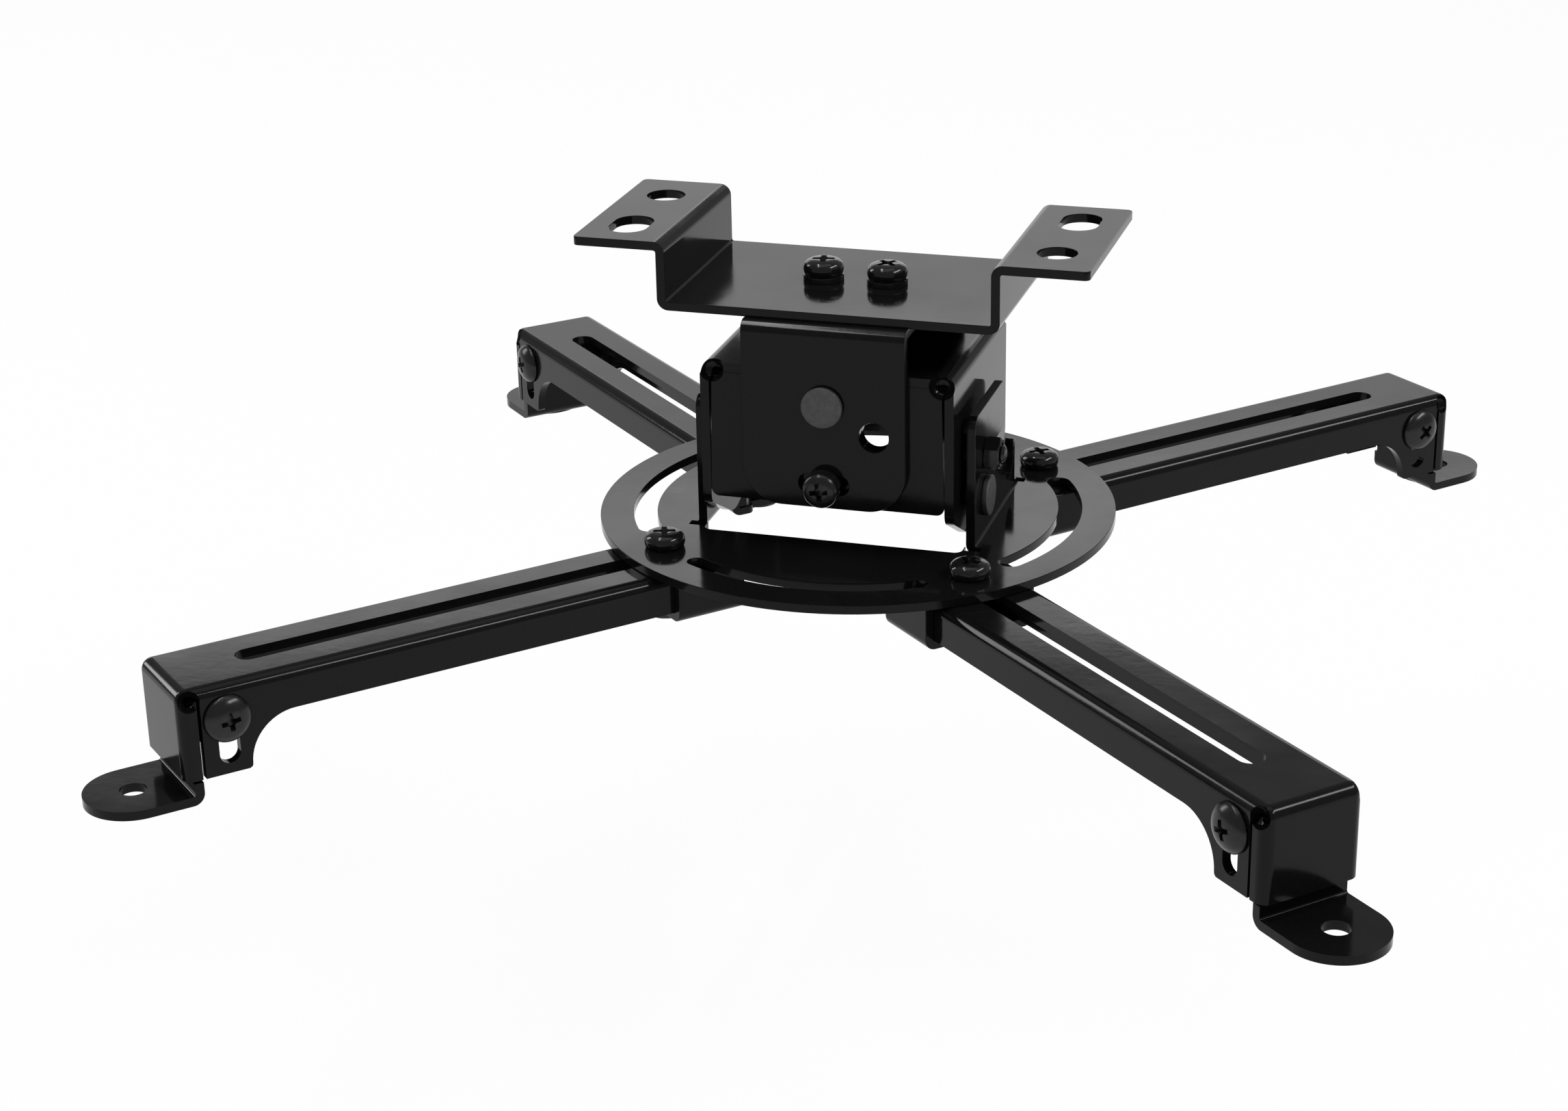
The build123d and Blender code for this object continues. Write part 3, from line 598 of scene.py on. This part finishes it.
# %% [markdown]
# The head has two screws through its ceiling plate, with their nuts under the yoke, the lock
# screw in the yoke's curved slot, and the tilt lock's bolt through the right ear. A screw is
# seated at the underside of its head, and a nut at the face that is nearer to that head. Each row
# below gives one fastener's place in millimetres, its axis and the turn of its cross in degrees.

# %% Fasteners of the head
HEAD_SCREW_X = 8.35
HEAD_SCREW_SEAT = 94.1
HEAD_NUT_SEAT = 88.0
LOCK_HEIGHT = 48.7
LOCK_SCREW_SEAT = -32.8
LOCK_NUT_SEAT = -26.3
BOLT_SEAT = 30.3
BOLT_NUT_SEAT = 36.5
BOLT_Y = -9.5
BOLT_HEIGHT = 53.0
HEAD_FASTENERS = [
    (head_screw, "head_screw_left", (-HEAD_SCREW_X, 0, HEAD_SCREW_SEAT), UP, 12, gloss_steel),
    (head_screw, "head_screw_right", (HEAD_SCREW_X, 0, HEAD_SCREW_SEAT), UP, 52, gloss_steel),
    (head_nut, "head_nut_left", (-HEAD_SCREW_X, 0, HEAD_NUT_SEAT), UP, None, gloss_steel),
    (head_nut, "head_nut_right", (HEAD_SCREW_X, 0, HEAD_NUT_SEAT), UP, None, gloss_steel),
    (lock_screw, "side_lock_screw", (0, LOCK_SCREW_SEAT, LOCK_HEIGHT), TO_FRONT, 8, satin_steel),
    (small_nut, "side_lock_nut", (0, LOCK_NUT_SEAT, LOCK_HEIGHT), TO_FRONT, None, gloss_steel),
    (tilt_bolt, "tilt_lock_bolt", (BOLT_SEAT, BOLT_Y, BOLT_HEIGHT), TO_LEFT, 0, gloss_steel),
    (tilt_nut, "tilt_lock_nut", (BOLT_NUT_SEAT, BOLT_Y, BOLT_HEIGHT), TO_LEFT, None, gloss_steel),
]
for model, node, place, axis, cross_turn, finish in HEAD_FASTENERS:
    set_fastener(model, node, place, axis, cross_turn, finish)
print("fasteners of the head:", len(dressed) - len(soft_sheets))

# %% [markdown]
# Each arm has its clamp screw through the round plate, with a thin nut under the collar, and two
# dome screws through its side walls, which hold the foot's lugs. The arm's direction gives the
# dome screws' places: so far along the arm, and so far to each side of its middle. The turns of
# the crosses are those of the clamp screw and of the dome screws a and b.

# %% Fasteners of the arms
CLAMP_SCREW_SEAT = 32.1
CLAMP_NUT_SEAT = 17.1
FOOT_SCREW_ALONG = 123.3
FOOT_SCREW_HEIGHT = 21.0
FOOT_SCREW_SEAT = 13.5
FOOT_NUT_SEAT = 8.65
ARM_ANGLES = {"front_left": 227.4, "front_right": 316.4, "back_right": 47.7, "back_left": 135.8}
CLAMP_PLACES = {"front_left": (-39.598, -39.598), "front_right": (39.598, -39.598),
                "back_right": (39.598, 39.598), "back_left": (-39.598, 39.598)}
CROSS_TURNS = {"front_left": (20, 8, 12), "front_right": (67, 15, 14),
               "back_right": (35, 5, 40), "back_left": (80, 20, 40)}
for corner in CORNERS:
    x, y = CLAMP_PLACES[corner]
    angle = math.radians(ARM_ANGLES[corner])
    along = Vector((math.cos(angle), math.sin(angle), 0))
    across = Vector((-math.sin(angle), math.cos(angle), 0))
    clamp_turn, turn_a, turn_b = CROSS_TURNS[corner]
    set_fastener(clamp_screw, "clamp_screw_" + corner, (x, y, CLAMP_SCREW_SEAT),
                 UP, clamp_turn, gloss_steel)
    set_fastener(clamp_nut, "clamp_nut_" + corner, (x, y, CLAMP_NUT_SEAT), UP, None, gloss_steel)
    middle = Vector((x, y, FOOT_SCREW_HEIGHT)) + along * FOOT_SCREW_ALONG
    for word, way, cross_turn in (("a", across, turn_a), ("b", -across, turn_b)):
        outside = middle + way * FOOT_SCREW_SEAT
        inside = middle + way * FOOT_NUT_SEAT
        ending = word + "_" + corner
        set_fastener(foot_screw, "foot_screw_" + ending, outside, way, cross_turn, satin_steel)
        set_fastener(small_nut, "foot_nut_" + ending, inside, way, None, gloss_steel)
for model in (head_screw, clamp_screw, lock_screw, foot_screw,
              head_nut, clamp_nut, small_nut, tilt_nut, tilt_bolt):
    bpy.data.objects.remove(model, do_unlink=True)
print("fasteners in all:", len(dressed) - len(soft_sheets))

# %% [markdown]
# The split washers, the spacers and the rivets have simple outlines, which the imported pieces
# already give. They are dressed like the sheets: a copy, with its rims rounded by a narrow bevel.

# %% Washers, spacers and rivets
for node in list(packed):
    if node in dressed:
        continue
    is_rivet = "rivet" in node
    piece = soften(node, RIVET_RIM if is_rivet else SMALL_RIM)
    end_piece(piece, node + "_made", node, rivet_steel if is_rivet else satin_steel)
    dressed.add(node)
print("pieces dressed:", len(dressed), "of", len(packed))

# %% [markdown]
# ## The floor
#
# The picture is a cut-out on pure white. The floor is pale, and for the camera and in the paint's
# reflections it is blended towards white of strength 1, so that only a faint shadow is left. The
# mount hangs in use and its arms dip when the head tilts, so the floor lies 95 mm below the feet.

# %% White floor that keeps a faint shadow
def only_seen_white(tree, shaded, seen_part, mirrored_part):
    """Blend a shader towards white of strength 1, for the camera and for mirrored and bent rays."""
    path = tree.nodes.new("ShaderNodeLightPath")
    parts = {"Is Camera Ray": seen_part,
             "Is Glossy Ray": mirrored_part,
             "Is Transmission Ray": mirrored_part}
    share = None
    for kind, part in parts.items():
        weight = tree.nodes.new("ShaderNodeMath")
        weight.operation = "MULTIPLY"
        weight.inputs[1].default_value = part
        tree.links.new(path.outputs[kind], weight.inputs[0])
        if share is None:
            share = weight.outputs["Value"]
            continue
        larger = tree.nodes.new("ShaderNodeMath")
        larger.operation = "MAXIMUM"
        tree.links.new(share, larger.inputs[0])
        tree.links.new(weight.outputs["Value"], larger.inputs[1])
        share = larger.outputs["Value"]
    white = tree.nodes.new("ShaderNodeEmission")
    white.inputs["Color"].default_value = (1, 1, 1, 1)
    white.inputs["Strength"].default_value = 1.0
    blend = tree.nodes.new("ShaderNodeMixShader")
    tree.links.new(share, blend.inputs["Fac"])
    tree.links.new(shaded, blend.inputs[1])
    tree.links.new(white.outputs["Emission"], blend.inputs[2])
    return blend.outputs["Shader"]


SEEN_PART = 0.93
MIRRORED_PART = 0.4
FLOOR_SIZE = 7.0
FLOOR_HEIGHT = -95 * MM
floor_material, floor_tree, floor_shader = make_material("studio_floor")
floor_shader.inputs["Base Color"].default_value = (0.9, 0.9, 0.9, 1)
floor_shader.inputs["Roughness"].default_value = 0.9
floor_surface = floor_tree.nodes["Material Output"].inputs["Surface"]
floor_light = only_seen_white(floor_tree, floor_shader.outputs["BSDF"], SEEN_PART, MIRRORED_PART)
floor_tree.links.new(floor_light, floor_surface)
bpy.ops.object.select_all(action="DESELECT")
bpy.ops.mesh.primitive_plane_add(size=FLOOR_SIZE, location=(0, 0, FLOOR_HEIGHT))
floor = bpy.context.object
floor.name = "floor"
floor.data.materials.append(floor_material)
print("floor ready")

# %% [markdown]
# ## The light
#
# Gloss black shows what it mirrors, so each lamp is a shape to be mirrored. Two upright boards
# behind the mount, one above the other, turn the flat tops grey. A strip on the left and one on
# the right draw a thin line along the bends, a softbox on the left makes the screws' domes shine,
# and a weak one overhead, with the plain sky, lights the rest softly.

# %% Lamps and the plain sky
def add_lamp(name, place, aim, width, height, power):
    """Large lamp that looks at a point."""
    data = bpy.data.lights.new(name, "AREA")
    data.shape = "RECTANGLE"
    data.size = width
    data.size_y = height
    data.energy = power
    lamp = bpy.data.objects.new(name, data)
    bpy.context.scene.collection.objects.link(lamp)
    lamp.location = place
    lamp.rotation_mode = "QUATERNION"
    lamp.rotation_quaternion = (Vector(aim) - Vector(place)).to_track_quat("-Z", "Y")
    return lamp


add_lamp("top_softbox", (0.1, -0.1, 1.6), (0, 0, 0), width=1.3, height=1.0, power=3)
add_lamp("left_strip", (-0.45, -0.3, 1.5), (-0.45, -0.3, 0), width=0.09, height=1.3, power=6)
add_lamp("right_strip", (1.05, 0.0, 1.05), (0, 0, 0), width=1.1, height=0.22, power=11)
add_lamp("back_board_low", (-0.825, 2.04, 0.44), (0, 0, 0.44), width=2.8, height=0.84, power=5.8)
add_lamp("back_board_high", (-0.825, 2.04, 0.96), (0, 0, 0.96), width=2.8, height=0.2, power=3.2)
add_lamp("left_softbox", (-1.45, 0.2, 0.65), (0, 0, 0.05), width=0.35, height=0.8, power=7)
SKY_STRENGTH = 0.35
world = bpy.data.worlds.new("studio")
bpy.context.scene.world = world
world.use_nodes = True
sky = world.node_tree
sky.nodes["Background"].inputs["Color"].default_value = (1, 1, 1, 1)
sky.nodes["Background"].inputs["Strength"].default_value = SKY_STRENGTH
bpy.context.scene.view_settings.view_transform = "Standard"
print("lamps ready")
